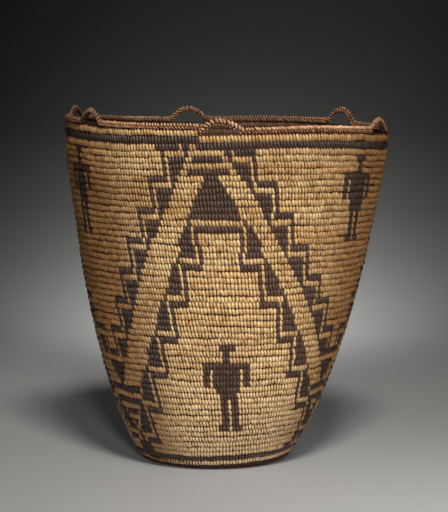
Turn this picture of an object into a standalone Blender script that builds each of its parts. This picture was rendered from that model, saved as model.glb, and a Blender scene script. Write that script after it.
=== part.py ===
"""Coiled burden basket with a strip-covered wall, an overcast rim and six low lacing loops.

Metres, +Z up. The origin is the middle of the underside, where the coil starts. The front faces -Y
and +X is the right-hand side. One coil runs from the middle of the base to the rim: it turns to the
right as it climbs, one course to a turn, and every row of strips starts and ends at the jog line.
"""
import math

import bmesh
import bpy
import numpy as np

for old in list(bpy.data.objects):
    bpy.data.objects.remove(old, do_unlink=True)

# Driving sizes
wall_height = 0.335
rim_radius = 0.1607
base_corner_radius = 0.0727      # where the wall's line would meet the floor
heel_radius = 0.013              # the curve that turns the base up into the wall
heel_course_arc = 0.0081         # floor to the first wall course, along that curve
coil_depth = 0.0047              # bundle of split root, without its strips
strip_thickness = 0.0016         # folded outer strip at a course's ridge
rib_depth = 0.0010               # how far the groove between two courses goes in, outside
inner_rib_depth = 0.0014         # and inside, where no folded strip fills it
fit_gap = 0.0003
braid_width = 0.0078
braid_height = 0.0051
loop_span = 0.0456               # foot to foot along the rim, middle to middle
loop_rise = 0.0170               # top row of strips to the top of a loop
loop_cord = 0.0060

# Counts and angles
wall_courses = 56
segments = 26
loop_sides = 8
loop_steps = 10
jog_angle = math.radians(-9.5)

# Each loop's angle, and its own span, its rise and the shift of its peak along the rim as shares
loop_angles = {
    "front": math.radians(-1.5),
    "right": math.radians(68.0),
    "back_right": math.radians(129.8),
    "back": math.radians(195.0),
    "back_left": math.radians(257.5),
    "left": math.radians(304.7),
}
loop_shares = {
    "front": (0.83, 0.90, -0.07),
    "right": (1.0, 0.86, 0.0),
    "back_right": (0.92, 1.11, 0.0),
    "back": (0.90, 1.0, 0.04),
    "back_left": (0.85, 0.83, 0.0),
    "left": (0.80, 0.97, 0.0),
}

# The wall's outline: radius gained, as a share of corner to rim, at each share of the height
height_shares = (0.0, 0.05, 0.10, 0.15, 0.20, 0.30, 0.40, 0.50, 0.60, 0.70, 0.80, 0.90, 1.0)
widening_shares = (0.0, 0.124, 0.224, 0.309, 0.385, 0.510, 0.620, 0.711, 0.790, 0.855, 0.923, 0.980, 1.0)

# How the basket has settled: it leans to the right, and its rim dips to the right and the front
lean_share = 0.0499
lean_fade_share = 0.242
side_dip_share = 0.019
front_dip_share = 0.018
front_dip_start_share = 0.8
rim_ripple_share = 0.0125
rim_ripple_start_share = 0.6

# Under the braid lies what is left of the coil: courses of it above the last full row, by turns
filler_turn_shares = (0.0, 0.0385, 0.115, 1.0)
filler_course_shares = (0.16, 0.16, 0.30, 0.06)
filler_end_turn_share = 0.70
flat_from_share = 0.22           # worn flat part of an underside course
flat_to_share = 0.78
braid_depth_shares = (0.06, 0.0, 0.0, 0.24, 0.78, 1.0, 1.0, 0.94)
braid_height_shares = (0.0, 0.31, 0.70, 1.0, 1.0, 0.70, 0.31, 0.0)
arch_power = 1.9                 # a rounded peak between two sloping sides
clear_share = 0.58               # of the cord, by which a loop's middle clears the seat past its feet

corner_to_rim = rim_radius - base_corner_radius
wall_depth = strip_thickness + fit_gap + coil_depth
coil_outer = strip_thickness + fit_gap
turn = 2.0 * math.pi


def wall_radius(share):
    """Radius at a share of the height, as a smooth curve through the outline's shares."""
    heights = np.array(height_shares)
    widths = np.array(widening_shares)
    slopes = np.gradient(widths, heights)
    cell = np.clip(np.searchsorted(heights, share, side="right") - 1, 0, len(heights) - 2)
    step = heights[cell + 1] - heights[cell]
    u = (share - heights[cell]) / step
    start = (1.0 + 2.0 * u) * (1.0 - u) ** 2 * widths[cell] + u * (1.0 - u) ** 2 * step * slopes[cell]
    end = u * u * (3.0 - 2.0 * u) * widths[cell + 1] + u * u * (u - 1.0) * step * slopes[cell + 1]
    return base_corner_radius + corner_to_rim * (start + end)


def trace_outline():
    """Half section from the middle of the floor, round the heel and up to the rim."""
    shares = np.linspace(0.0, 1.0, 801)
    radii = wall_radius(shares)
    heights = wall_height * shares
    first_slope = math.atan2(heights[8] - heights[0], radii[8] - radii[0])
    setback = heel_radius * math.tan(0.5 * first_slope)
    heel_start = base_corner_radius - setback
    bend = np.linspace(0.0, first_slope, 41)
    heel_r = heel_start + heel_radius * np.sin(bend)
    heel_z = heel_radius * (1.0 - np.cos(bend))
    keep = heights > heel_z[-1]
    floor_r = np.linspace(0.0, heel_start, 60)[:-1]
    radius = np.concatenate([floor_r, heel_r, radii[keep]])
    height = np.concatenate([floor_r * 0.0, heel_z, heights[keep]])
    length = np.concatenate([[0.0], np.cumsum(np.hypot(np.diff(radius), np.diff(height)))])
    return radius, height, length, heel_start


outline_r, outline_z, outline_s, heel_start_radius = trace_outline()
wall_start = heel_start_radius + heel_course_arc
seat_top_courses = wall_courses + 1.0 + filler_course_shares[-1]
course = (outline_s[-1] - wall_start) / seat_top_courses
base_turns = int(wall_start / course - 1.0)
edge_share = 0.5 * fit_gap / course


def outline_point(level, depth):
    """Radius and height at a level in courses above the first wall course, going in by a depth."""
    s = wall_start + level * course
    reach = 0.5 * course
    r = np.interp(s, outline_s, outline_r)
    z = np.interp(s, outline_s, outline_z)
    ahead = min(s + reach, outline_s[-1])
    behind = max(s - reach, 0.0)
    dr = np.interp(ahead, outline_s, outline_r) - np.interp(behind, outline_s, outline_r)
    dz = np.interp(ahead, outline_s, outline_z) - np.interp(behind, outline_s, outline_z)
    span = math.hypot(dr, dz)
    return r - depth * dz / span, z + depth * dr / span


def ease(share, start_share):
    """Smooth rise from nothing at the start share to one at the top."""
    high = min(max((share - start_share) / (1.0 - start_share), 0.0), 1.0)
    return high * high * (3.0 - 2.0 * high)


def settle(r, angle, z):
    """Put a point of the true round shape where the leaning, dipping basket has it."""
    rise = z / wall_height
    x = r * math.sin(angle) + lean_share * z * (1.0 - lean_fade_share * rise)
    y = -r * math.cos(angle)
    side_dip = side_dip_share * math.sqrt(max(rise, 0.0)) * r * math.sin(angle)
    front_dip = front_dip_share * ease(rise, front_dip_start_share) * r * math.cos(angle)
    ripple = rim_ripple_share * ease(rise, rim_ripple_start_share) * r * math.sin(3.0 * angle)
    return x, y, z - side_dip - front_dip + ripple


def coil_point(level, angle, depth):
    r, z = outline_point(level, depth)
    return settle(r, angle, z)


def make_material(name, colour, roughness):
    material = bpy.data.materials.new(name)
    material.use_nodes = True
    shader = material.node_tree.nodes["Principled BSDF"]
    shader.inputs["Base Color"].default_value = (*colour, 1.0)
    shader.inputs["Roughness"].default_value = roughness
    shader.inputs["Metallic"].default_value = 0.0
    material.diffuse_color = (*colour, 1.0)
    return material


def finish(name, points, faces, colour, roughness):
    """One closed object from its points and faces, with faces out and its own material."""
    mesh = bpy.data.meshes.new(name)
    mesh.from_pydata(points, [], faces)
    work = bmesh.new()
    work.from_mesh(mesh)
    bmesh.ops.recalc_face_normals(work, faces=work.faces)
    work.to_mesh(mesh)
    work.free()
    mesh.shade_smooth()
    mesh.set_sharp_from_angle(angle=math.radians(30.0))
    piece = bpy.data.objects.new(name, mesh)
    bpy.context.scene.collection.objects.link(piece)
    piece.data.materials.append(make_material(name, colour, roughness))
    return piece


class Points:
    """Points made once and looked up by name, so neighbouring faces share them."""

    def __init__(self):
        self.places = []
        self.index = {}

    def get(self, key, place):
        if key not in self.index:
            self.index[key] = len(self.places)
            self.places.append(place)
        return self.index[key]


def coil_band(name, first_level, turns, outer, inner, colour, roughness):
    """Rows of coil from the jog, round by round. A side is its groove's depth, its ridge points
    as (share of a course up, depth), and the courses whose grooves are kept on a plain side."""
    points = Points()
    faces = []
    last = turns * segments

    def place(side, station, up, depth):
        angle = jog_angle + turn * station / segments
        level = first_level + station / segments + up
        slip = 0.6 * fit_gap / outline_point(level, 0.0)[0]
        ridge = up > 0.0
        if ridge:
            angle += slip if station == 0 else 0.0
            angle -= slip if station == last else 0.0
        else:
            angle += slip if station == 0 else 0.0
            angle -= slip if station == last + segments else 0.0
            level += edge_share if station <= segments else 0.0
            level -= edge_share if station >= last else 0.0
        return points.get((side, station, up), coil_point(level, angle, depth))

    def groove(side, station):
        return place(side, station, 0.0, (outer if side == "out" else inner)[0])

    def cover(side, shape):
        kept = shape[2]
        for column in range(segments):
            for low, high in zip(kept[:-1], kept[1:]):
                a = column + segments * low
                b = column + segments * high
                if shape[1]:
                    rows = [(groove(side, a), groove(side, a + 1))]
                    for up, depth in shape[1]:
                        rows.append((place(side, a, up, depth), place(side, a + 1, up, depth)))
                    rows.append((groove(side, b), groove(side, b + 1)))
                    for below, above in zip(rows[:-1], rows[1:]):
                        faces.append((below[0], below[1], above[1], above[0]))
                    continue
                loop = [groove(side, a), groove(side, a + 1)]
                if column == segments - 1:
                    loop += [groove(side, segments * k) for k in kept if low + 1 < k < high + 1]
                loop += [groove(side, b + 1), groove(side, b)]
                if column == 0:
                    loop += [groove(side, segments * (k + 1)) for k in reversed(kept) if low < k + 1 < high]
                faces.append(tuple(loop))

    cover("out", outer)
    cover("in", inner)
    for column in range(segments):
        top = column + last
        faces.append((groove("out", column), groove("out", column + 1),
                      groove("in", column + 1), groove("in", column)))
        faces.append((groove("out", top), groove("out", top + 1), groove("in", top + 1), groove("in", top)))
    for station in (0, last):
        cap = [groove("out", station)]
        cap += [place("out", station, up, depth) for up, depth in outer[1]]
        cap += [groove("out", station + segments), groove("in", station + segments)]
        cap += [place("in", station, up, depth) for up, depth in reversed(inner[1])]
        cap += [groove("in", station)]
        faces.append(tuple(cap))
    return finish(name, points.places, faces, colour, roughness)


def sweep(name, sections, closed, colour, roughness):
    """A tube through matching sections, capped at both ends or joined round into a ring."""
    sides = len(sections[0])
    points = [place for section in sections for place in section]
    faces = []
    runs = len(sections) if closed else len(sections) - 1
    for run in range(runs):
        a = run * sides
        b = (run + 1) % len(sections) * sides
        for side in range(sides):
            after = (side + 1) % sides
            faces.append((a + side, a + after, b + after, b + side))
    if not closed:
        faces.append(tuple(range(sides)))
        faces.append(tuple(range(len(points) - sides, len(points))))
    return finish(name, points, faces, colour, roughness)


def strip_row(name, row_level, colour, roughness):
    """One round of folded strips, from the jog to the jog and one course up."""
    sections = []
    for station in range(segments + 1):
        angle = jog_angle + turn * station / segments
        level = row_level + station / segments
        slip = 0.6 * fit_gap / outline_point(level, 0.0)[0]
        angle += slip if station == 0 else 0.0
        angle -= slip if station == segments else 0.0
        low = level + edge_share
        high = level + 1.0 - edge_share
        sections.append([
            coil_point(low, angle, rib_depth),
            coil_point(level + 0.5, angle, 0.0),
            coil_point(high, angle, rib_depth),
            coil_point(high, angle, strip_thickness),
            coil_point(low, angle, strip_thickness),
        ])
    return sweep(name, sections, False, colour, roughness)


def base_start(name, colour, roughness):
    """The first knot of coil: a snail shape whose edge moves out by one course in its turn."""
    rings = (
        (flat_to_share - 1.0, 0.0),
        (-edge_share, rib_depth),
        (-edge_share, wall_depth - inner_rib_depth),
        (-0.5, wall_depth),
    )
    points = []
    for up, depth in rings:
        for station in range(segments + 1):
            level = station / segments - base_turns
            slip = 0.6 * fit_gap / outline_point(level, 0.0)[0]
            angle = jog_angle + turn * station / segments
            angle -= slip if station == segments else 0.0
            points.append(coil_point(level + up, angle, depth))
    count = segments + 1
    faces = [tuple(range(count)), tuple(range(3 * count, 4 * count))]
    for ring in range(3):
        for station in range(count):
            after = (station + 1) % count
            low = ring * count
            faces.append((low + station, low + after, low + count + after, low + count + station))
    return finish(name, points, faces, colour, roughness)


def seat_level(station):
    """Level of the rim's seat at a station: it climbs with the coil, which thins out above the top row."""
    part = station / segments
    return wall_courses + part + float(np.interp(part, filler_turn_shares, filler_course_shares))


def rim_coil(name, colour, roughness):
    """The coil's last stretch, which thins to nothing under the braid."""
    sections = []
    for station in range(int(filler_end_turn_share * segments) + 1):
        part = station / segments
        angle = jog_angle + turn * part
        angle += 0.6 * fit_gap / rim_radius if station == 0 else 0.0
        low = wall_courses + part + 2.0 * edge_share
        high = seat_level(station)
        sections.append([
            coil_point(low, angle, rib_depth),
            coil_point(0.5 * (low + high), angle, 0.5 * rib_depth),
            coil_point(high, angle, rib_depth),
            coil_point(high, angle, wall_depth - inner_rib_depth),
            coil_point(low, angle, wall_depth - inner_rib_depth),
        ])
    return sweep(name, sections, False, colour, roughness)


def on_seat(out, angle, up):
    """A point out from the middle of the wall's edge and up from its seat, straight between stations."""
    part = (angle - jog_angle) / turn * segments
    first = min(max(math.floor(part), 0), segments - 1)
    ends = []
    for station in (first, first + 1):
        r, z = outline_point(seat_level(station), 0.0)
        place = (r - 0.5 * wall_depth + out, jog_angle + turn * station / segments)
        ends.append(settle(*place, z + 2.0 * edge_share * course + up))
    return tuple(a + (b - a) * (part - first) for a, b in zip(*ends))


def arch(name, along_share):
    """A loop's middle line: place along the rim, height, and slope at a share of its half span."""
    span_share, rise_share, peak_share = loop_shares[name]
    reach = 0.5 * loop_span * span_share
    rise = loop_rise * rise_share - 0.5 * loop_cord
    peak = loop_span * peak_share
    fall = abs(along_share) ** arch_power
    bend = math.copysign(arch_power * abs(along_share) ** (arch_power - 1.0), along_share)
    return reach * along_share + peak * (1.0 - fall), rise * (1.0 - fall), -rise * bend / (reach - peak * bend)


def foot(name, side):
    """The outermost line of a loop's foot along the rim, and how far its leg leans for its height."""
    along, up, slope = arch(name, side)
    across = 0.5 * loop_cord * math.cos(math.pi / loop_sides)
    return along + side * across * math.hypot(1.0, slope) / abs(slope), 1.0 / abs(slope)


def centre_radius(angle):
    x, y, z = on_seat(0.0, angle, 0.0)
    return math.hypot(x - lean_share * z * (1.0 - lean_fade_share * z / wall_height), y)


def loop_middle(name):
    """A loop's angle. The front one stands just past the jog, where the top row has stepped down."""
    angle = loop_angles[name]
    if name == "front":
        angle = max(angle, jog_angle + (2.0 * fit_gap - foot(name, -1.0)[0]) / centre_radius(angle))
    return angle


def rim_braid(name, before, after, colour, roughness):
    """A stretch of braid between two loops, whose ends lean as far as the legs beside them."""
    start, start_lean = foot(before, 1.0)
    end, end_lean = foot(after, -1.0)
    radius = centre_radius(loop_middle(before))
    first = loop_middle(before) + (start + fit_gap) / radius
    last = loop_middle(after) + (end - fit_gap) / radius
    if after == "front":
        last = jog_angle + turn - fit_gap / radius
    stations = [jog_angle + turn * k / segments for k in range(segments + 1)]
    margin = 0.15 * turn / segments
    angles = [first] + [a for a in stations if first + margin < a < last - margin] + [last]
    sections = []
    for number, angle in enumerate(angles):
        lean = 0.0
        if number == 0:
            lean = -start_lean
        if number == len(angles) - 1:
            lean = end_lean
        sections.append([
            on_seat(braid_width * (0.5 - inward), angle + lean * braid_height * up / radius, braid_height * up)
            for inward, up in zip(braid_depth_shares, braid_height_shares)
        ])
    return sweep(name, sections, False, colour, roughness)


def rim_loop(name, colour, roughness):
    """A low peaked arch of wrapped cord, cut level where its two feet stand on the seat."""
    cord_radius = 0.5 * loop_cord
    middle = loop_middle(name)
    radius = centre_radius(middle)
    rise = arch(name, 0.0)[1]
    free_share = (1.0 - loop_cord / rise * clear_share) ** (1.0 / arch_power)
    sections = []
    for step in range(loop_steps + 1):
        along_share = -free_share * math.cos(math.pi * (step - 1) / (loop_steps - 2))
        if step in (0, loop_steps):
            along_share = math.copysign(1.0, step - 1)
        along, up, slope = arch(name, along_share)
        size = math.hypot(1.0, slope)
        section = []
        for side in range(loop_sides):
            spin = turn * (side + 0.5) / loop_sides
            out = cord_radius * math.cos(spin)
            u = along - out * slope / size
            v = up + out / size
            if step in (0, loop_steps):
                u -= v / slope
                v = 0.0
            section.append(on_seat(cord_radius * math.sin(spin), middle + u / radius, v))
        sections.append(section)
    return sweep("rim_loop_" + name, sections, False, colour, roughness)


tan_grass = (0.61, 0.35, 0.13)
dark_grass = (0.050, 0.027, 0.023)
split_root = (0.20, 0.075, 0.035)
rim_root = (0.27, 0.11, 0.055)
loop_root = (0.33, 0.15, 0.07)

field_turns = wall_courses - 4
every_groove = tuple(range(field_turns + 1))
wide_field = tuple(k for k in every_groove if k % 4 == 0 or k == field_turns)
wall_plain = (0, 1) + tuple(k + 2 for k in wide_field) + (wall_courses - 1, wall_courses)
wall_bands = (("low", 0, 18), ("middle", 18, 38), ("high", 38, wall_courses))
base_ribs = tuple(range(base_turns + 1))
inner_ridge = ((0.5, wall_depth),)
inner_groove = wall_depth - inner_rib_depth

base_start("base_start", split_root, 0.6)
coil_band(
    "base_coil", -base_turns, base_turns,
    (rib_depth, ((flat_from_share, 0.0), (flat_to_share, 0.0)), base_ribs),
    (inner_groove, inner_ridge, base_ribs),
    split_root, 0.6)
for band_name, low_level, high_level in wall_bands:
    plain = tuple(k - low_level for k in wall_plain if low_level <= k <= high_level)
    coil_band(
        "wall_coil_" + band_name, low_level, high_level - low_level,
        (coil_outer, (), plain),
        (inner_groove, inner_ridge, tuple(range(high_level - low_level + 1))),
        split_root, 0.6)
strip_row("strips_base_tan", 0, tan_grass, 0.45)
strip_row("strips_base_dark", 1, dark_grass, 0.5)
coil_band(
    "strips_field", 2, field_turns,
    (rib_depth, ((0.5, 0.0),), every_groove),
    (strip_thickness, (), wide_field),
    tan_grass, 0.45)
strip_row("strips_rim_dark", wall_courses - 2, dark_grass, 0.5)
strip_row("strips_rim_tan", wall_courses - 1, tan_grass, 0.45)
rim_coil("rim_coil", rim_root, 0.6)
for braid_name, loop_before, loop_after in (
        ("front_right", "front", "right"),
        ("right", "right", "back_right"),
        ("back_right", "back_right", "back"),
        ("back_left", "back", "back_left"),
        ("left", "back_left", "left"),
        ("front_left", "left", "front")):
    rim_braid("rim_braid_" + braid_name, loop_before, loop_after, rim_root, 0.55)
for loop_name in loop_angles:
    rim_loop(loop_name, loop_root, 0.55)

print("course pitch", round(course * 1000.0, 3), "mm; base turns", base_turns)
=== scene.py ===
import math

import bpy
import numpy as np
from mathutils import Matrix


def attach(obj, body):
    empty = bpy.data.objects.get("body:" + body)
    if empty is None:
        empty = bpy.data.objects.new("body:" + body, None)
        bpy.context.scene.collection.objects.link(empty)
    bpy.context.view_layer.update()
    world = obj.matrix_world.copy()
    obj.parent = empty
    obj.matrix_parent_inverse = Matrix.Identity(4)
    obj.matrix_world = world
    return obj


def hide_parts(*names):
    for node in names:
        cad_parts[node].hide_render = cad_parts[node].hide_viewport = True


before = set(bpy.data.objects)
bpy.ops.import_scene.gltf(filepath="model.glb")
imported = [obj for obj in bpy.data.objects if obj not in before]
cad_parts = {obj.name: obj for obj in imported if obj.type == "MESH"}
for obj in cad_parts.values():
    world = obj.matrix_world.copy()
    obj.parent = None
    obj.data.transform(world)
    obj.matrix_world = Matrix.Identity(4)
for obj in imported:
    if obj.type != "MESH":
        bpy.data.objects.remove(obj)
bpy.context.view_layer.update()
fullTurn = 2.0 * math.pi

# The basket's own shape, in metres: the same numbers as the CAD part, so every piece lands on its node
basket = {
    "wallHeight": 0.335,
    "rimRadius": 0.1607,
    "cornerRadius": 0.0727,          # where the wall's line would meet the floor
    "heelRadius": 0.013,
    "heelCourseArc": 0.0081,
    "wallCourses": 56,
    "baseRounds": 12,
    "stripThickness": 0.0016,
    "innerThickness": 0.0011,        # of the root stitches inside
    "ribDepth": 0.0010,
    "innerRibDepth": 0.0014,
    "wallDepth": 0.0066,
    "seatGap": 0.0003,               # between the top row of strips and the rim's coil
    "jogDegrees": -9.5,              # every row of strips starts and ends here
    "heightShares": (0.0, 0.05, 0.10, 0.15, 0.20, 0.30, 0.40, 0.50, 0.60, 0.70, 0.80, 0.90, 1.0),
    "widthShares": (0.0, 0.124, 0.224, 0.309, 0.385, 0.510, 0.620, 0.711, 0.790, 0.855, 0.923, 0.980, 1.0),
    "lean": 0.0499, "leanFade": 0.242,
    "sideDip": 0.019, "frontDip": 0.018, "frontDipStart": 0.8,
    "ripple": 0.0125, "rippleStart": 0.6,
    "fillerTurns": (0.0, 0.0385, 0.115, 1.0),
    "fillerCourses": (0.16, 0.16, 0.30, 0.06),
    "stitchWidth": 0.00331,
    "outlineSteps": (60, 41, 801),   # points along the floor, the heel and the wall
    "splitRow": 20, "splitLevel": 26,    # where the strips and the inside are cut into two pieces
    "chanceSeed": 56,
}
jog = math.radians(basket["jogDegrees"])
lastRow = basket["wallCourses"] - 1
rng = np.random.default_rng(basket["chanceSeed"])


def wallRadius(share):
    # radius at a share of the height: a cubic Hermite curve through the listed shares
    heights = np.array(basket["heightShares"])
    widths = np.array(basket["widthShares"])
    slopes = np.gradient(widths, heights)
    cell = np.clip(np.searchsorted(heights, share, side="right") - 1, 0, len(heights) - 2)
    step = heights[cell + 1] - heights[cell]
    u = (share - heights[cell]) / step
    start = (1 + 2 * u) * (1 - u) ** 2 * widths[cell] + u * (1 - u) ** 2 * step * slopes[cell]
    end = u * u * (3 - 2 * u) * widths[cell + 1] + u * u * (u - 1) * step * slopes[cell + 1]
    return basket["cornerRadius"] + (basket["rimRadius"] - basket["cornerRadius"]) * (start + end)


def traceOutline():
    # half section: flat floor, an arc round the heel, then the wall up to the rim
    floorSteps, heelSteps, wallSteps = basket["outlineSteps"]
    shares = np.linspace(0, 1, wallSteps)
    radii = wallRadius(shares)
    heights = basket["wallHeight"] * shares
    low = wallSteps // 100
    slope = math.atan2(heights[low], radii[low] - radii[0])      # of the wall's lowest hundredth
    heelStart = basket["cornerRadius"] - basket["heelRadius"] * math.tan(0.5 * slope)
    bend = np.linspace(0, slope, heelSteps)
    heelR = heelStart + basket["heelRadius"] * np.sin(bend)
    heelZ = basket["heelRadius"] * (1 - np.cos(bend))
    keep = heights > heelZ[-1]
    floorR = np.linspace(0, heelStart, floorSteps)[:-1]
    r = np.concatenate([floorR, heelR, radii[keep]])
    z = np.concatenate([floorR * 0, heelZ, heights[keep]])
    return r, z, np.concatenate([[0], np.cumsum(np.hypot(np.diff(r), np.diff(z)))]), heelStart


lineR, lineZ, lineS, heelStart = traceOutline()
wallStart = heelStart + basket["heelCourseArc"]
seatTop = basket["wallCourses"] + 1 + basket["fillerCourses"][-1]
course = (lineS[-1] - wallStart) / seatTop
lowestLevel = -wallStart / course


def outlinePoint(level, depth):
    # a point of the half section: along it by courses, then inwards by depth, square to it
    s = wallStart + level * course
    ahead = np.minimum(s + 0.5 * course, lineS[-1])
    behind = np.maximum(s - 0.5 * course, 0)
    dr = np.interp(ahead, lineS, lineR) - np.interp(behind, lineS, lineR)
    dz = np.interp(ahead, lineS, lineZ) - np.interp(behind, lineS, lineZ)
    span = np.hypot(dr, dz)
    over = np.maximum(s - lineS[-1], 0)
    r = np.interp(s, lineS, lineR) + over * dr / span
    z = np.interp(s, lineS, lineZ) + over * dz / span
    return r - depth * dz / span, z + depth * dr / span


def ease(share, start):
    # 0 up to start, then 3h^2 - 2h^3, which is 1 at the rim
    high = np.clip((share - start) / (1 - start), 0, 1)
    return high * high * (3 - 2 * high)


def settle(r, angle, z):
    # true round place to worn place. Sideways: r*sin(angle) + lean*z, where the lean fades a little upwards.
    # Upwards: z, less a dip to the right and one to the front, plus a ripple of three waves round the rim
    rise = z / basket["wallHeight"]
    x = r * np.sin(angle) + basket["lean"] * z * (1 - basket["leanFade"] * rise)
    y = -r * np.cos(angle)
    side = basket["sideDip"] * np.sqrt(np.maximum(rise, 0)) * r * np.sin(angle)
    front = basket["frontDip"] * ease(rise, basket["frontDipStart"]) * r * np.cos(angle)
    ripple = basket["ripple"] * ease(rise, basket["rippleStart"]) * r * np.sin(3 * angle)
    return np.stack([x, y, z - side - front + ripple], -1)


wander = {
    # worn rows, by level up the wall and angle round it: how far each has sunk, in courses
    "sunkLevels": (-6, 1, 6, 12, 18, 24, 36, 42, 48, 54, 56),
    "sunkAngles": (-75, -42, -14, 14, 42, 65),
    "sunk": (
        (0.00, 0.00, 0.00, 0.00, 0.00, 0.00),
        (0.48, 0.58, 0.66, 0.50, 0.31, 0.10),
        (0.62, 0.75, 0.85, 0.60, 0.44, 0.36),
        (0.55, 0.64, 0.77, 0.60, 0.54, 0.48),
        (0.41, 0.45, 0.50, 0.53, 0.48, 0.36),
        (0.30, 0.33, 0.31, 0.43, 0.36, 0.24),
        (0.30, 0.44, 0.36, 0.40, 0.28, 0.27),
        (0.36, 0.63, 0.38, 0.40, 0.41, 0.35),
        (0.44, 0.61, 0.38, 0.36, 0.41, 0.36),
        (0.36, 0.50, 0.24, 0.20, 0.34, 0.38),
        (0.00, 0.00, 0.00, 0.00, 0.00, 0.00),
    ),
    # and how far its strips have slipped sideways, in degrees
    "slipLevels": (4, 14, 22, 30, 38, 46, 54),
    "slipAngles": (-56, -35, -14, 0, 14, 35, 56),
    "slip": (
        (2.2, 2.2, 1.0, 0.0, 0.0, -1.3, -1.8),
        (1.4, 1.1, 0.5, 0.0, -0.1, -1.3, -2.2),
        (1.3, 0.6, 0.2, 0.0, -0.6, -1.1, -0.5),
        (0.8, 0.4, -1.0, -1.0, -0.8, -0.6, -0.6),
        (0.4, 0.3, -0.7, -0.7, -0.7, -0.3, 0.0),
        (-0.4, -0.2, 0.0, -0.2, -0.3, 0.0, 0.0),
        (-0.3, -0.3, 0.1, 0.0, -0.3, 0.0, 0.0),
    ),
    # slow waves: around, upward, start and size in courses
    "waves": (
        (3, 0.55, 0.4, 0.040), (7, 0.31, 2.1, 0.045), (13, 0.83, 4.0, 0.045),
        (19, 0.47, 1.2, 0.040), (31, 1.30, 5.1, 0.035), (47, 1.90, 2.7, 0.025),
    ),
    "fadeCourses": 3,                # over how many courses the waves fade out at the rim and the base
}


def readTable(name, level, angle):
    # bilinear between the table's entries; its two side columns meet half way at the back
    level, angle = np.broadcast_arrays(level, angle)
    table = np.array(wander[name])
    back = 0.5 * (table[:, :1] + table[:, -1:])
    table = np.concatenate([back, table, back], 1)
    turn = (np.degrees(angle) + 180) % 360 - 180
    column = np.interp(turn, (-180,) + wander[name + "Angles"] + (180,), np.arange(table.shape[1]))
    line = np.interp(level, wander[name + "Levels"], np.arange(len(table)))
    left = np.minimum(column.astype(int), table.shape[1] - 2)
    low = np.minimum(line.astype(int), len(table) - 2)
    across = column - left
    up = line - low
    below = table[low, left] * (1 - across) + table[low, left + 1] * across
    above = table[low + 1, left] * (1 - across) + table[low + 1, left + 1] * across
    return below * (1 - up) + above * up


def stray(level, angle):
    # the sunk table, plus sines round the basket and up it that fade out at the rim and the base
    shift = -readTable("sunk", level, angle)
    fade = wander["fadeCourses"]
    inner = np.clip(level / fade, 0, 1) * np.clip((lastRow - level) / fade, 0, 1)
    for around, upward, start, size in wander["waves"]:
        shift = shift + inner * size * np.sin(around * angle + start) * np.cos(upward * level + 2 * start)
    return shift


def coilPoint(level, angle, depth):
    # a point of the wall: the outline at the level plus its stray, turned round by the angle and settled
    r, z = outlinePoint(level + stray(level, angle), depth)
    return settle(r, angle, z)


def seatLevel(angle):
    # the rim's seat climbs one course in its turn from the jog, and steps down there
    part = (angle - jog) / fullTurn
    return basket["wallCourses"] + part + np.interp(part, basket["fillerTurns"], basket["fillerCourses"])


def onSeat(out, angle, up):
    # out from the middle of the wall's edge, and up from the row of strips under it
    r, z = outlinePoint(seatLevel(angle), 0.0)
    return settle(r - 0.5 * basket["wallDepth"] + out, angle, z + basket["seatGap"] + up)


# Mesh and material helpers

def makePiece(name, points, quads, material, nodes=(), colours=None):
    # one mesh object from whole arrays of points and four-cornered faces
    points = np.asarray(points, np.float32).reshape(-1, 3)
    quads = np.asarray(quads, np.int32).reshape(-1, 4)
    mesh = bpy.data.meshes.new(name)
    mesh.vertices.add(len(points))
    mesh.vertices.foreach_set("co", points.ravel())
    mesh.loops.add(quads.size)
    mesh.loops.foreach_set("vertex_index", quads.ravel())
    mesh.polygons.add(len(quads))
    mesh.polygons.foreach_set("loop_start", np.arange(0, quads.size, 4, dtype=np.int32))
    mesh.polygons.foreach_set("use_smooth", np.ones(len(quads), bool))
    mesh.update(calc_edges=True)
    if colours is not None:
        layer = mesh.color_attributes.new("strip", "FLOAT_COLOR", "POINT")
        layer.data.foreach_set("color", np.asarray(colours, np.float32).ravel())
    mesh.validate()
    mesh.materials.append(material)
    piece = bpy.data.objects.new(name, mesh)
    bpy.context.scene.collection.objects.link(piece)
    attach(piece, "root")
    if nodes:
        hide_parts(*nodes)
    print(name, len(quads) * 2, "triangles")


def gridQuads(rows, columns, closeRows=False, closeColumns=False):
    # faces of a rows by columns grid of points, joined round where asked
    ids = np.arange(rows * columns).reshape(rows, columns)
    if closeRows:
        ids = np.concatenate([ids, ids[:1]], 0)
    if closeColumns:
        ids = np.concatenate([ids, ids[:, :1]], 1)
    return np.stack([ids[:-1, :-1], ids[:-1, 1:], ids[1:, 1:], ids[1:, :-1]], -1).reshape(-1, 4)


def patchQuads(count, across, along, flip=False):
    # the same small grid of faces repeated for a whole set of stitches
    one = gridQuads(across, along)
    if flip:
        one = one[:, ::-1]
    return (np.arange(count)[:, None, None] * across * along + one[None]).reshape(-1, 4)


class Field:
    # a socket with arithmetic, so that a material's sums read as sums

    def __init__(self, tree, socket):
        self.tree = tree
        self.socket = socket

    def math(self, kind, other=None, third=None, clamp=False):
        settings = {"operation": kind, "use_clamp": clamp}
        return addNode(self.tree, "Math", settings, in0=self, in1=other, in2=third)

    def __add__(self, other):
        return self.math("ADD", other)

    def __radd__(self, other):
        return self.math("ADD", other)

    def __mul__(self, other):
        return self.math("MULTIPLY", other)

    def __rmul__(self, other):
        return self.math("MULTIPLY", other)

    def __sub__(self, other):
        return self.math("SUBTRACT", other)

    def __rsub__(self, other):
        return self.math("MULTIPLY_ADD", -1.0, other)

    def __truediv__(self, other):
        return self.math("DIVIDE", other)

    def __pow__(self, other):
        return self.math("POWER", other)

    def clip(self):
        return self.math("ADD", 0.0, clamp=True)

    def between(self, low, high):
        # 0 below low, 1 above high
        return ((self - low) / (high - low)).clip()

    def siblings(self):
        # every output of the node behind this socket
        return [Field(self.tree, output) for output in self.socket.node.outputs]


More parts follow.
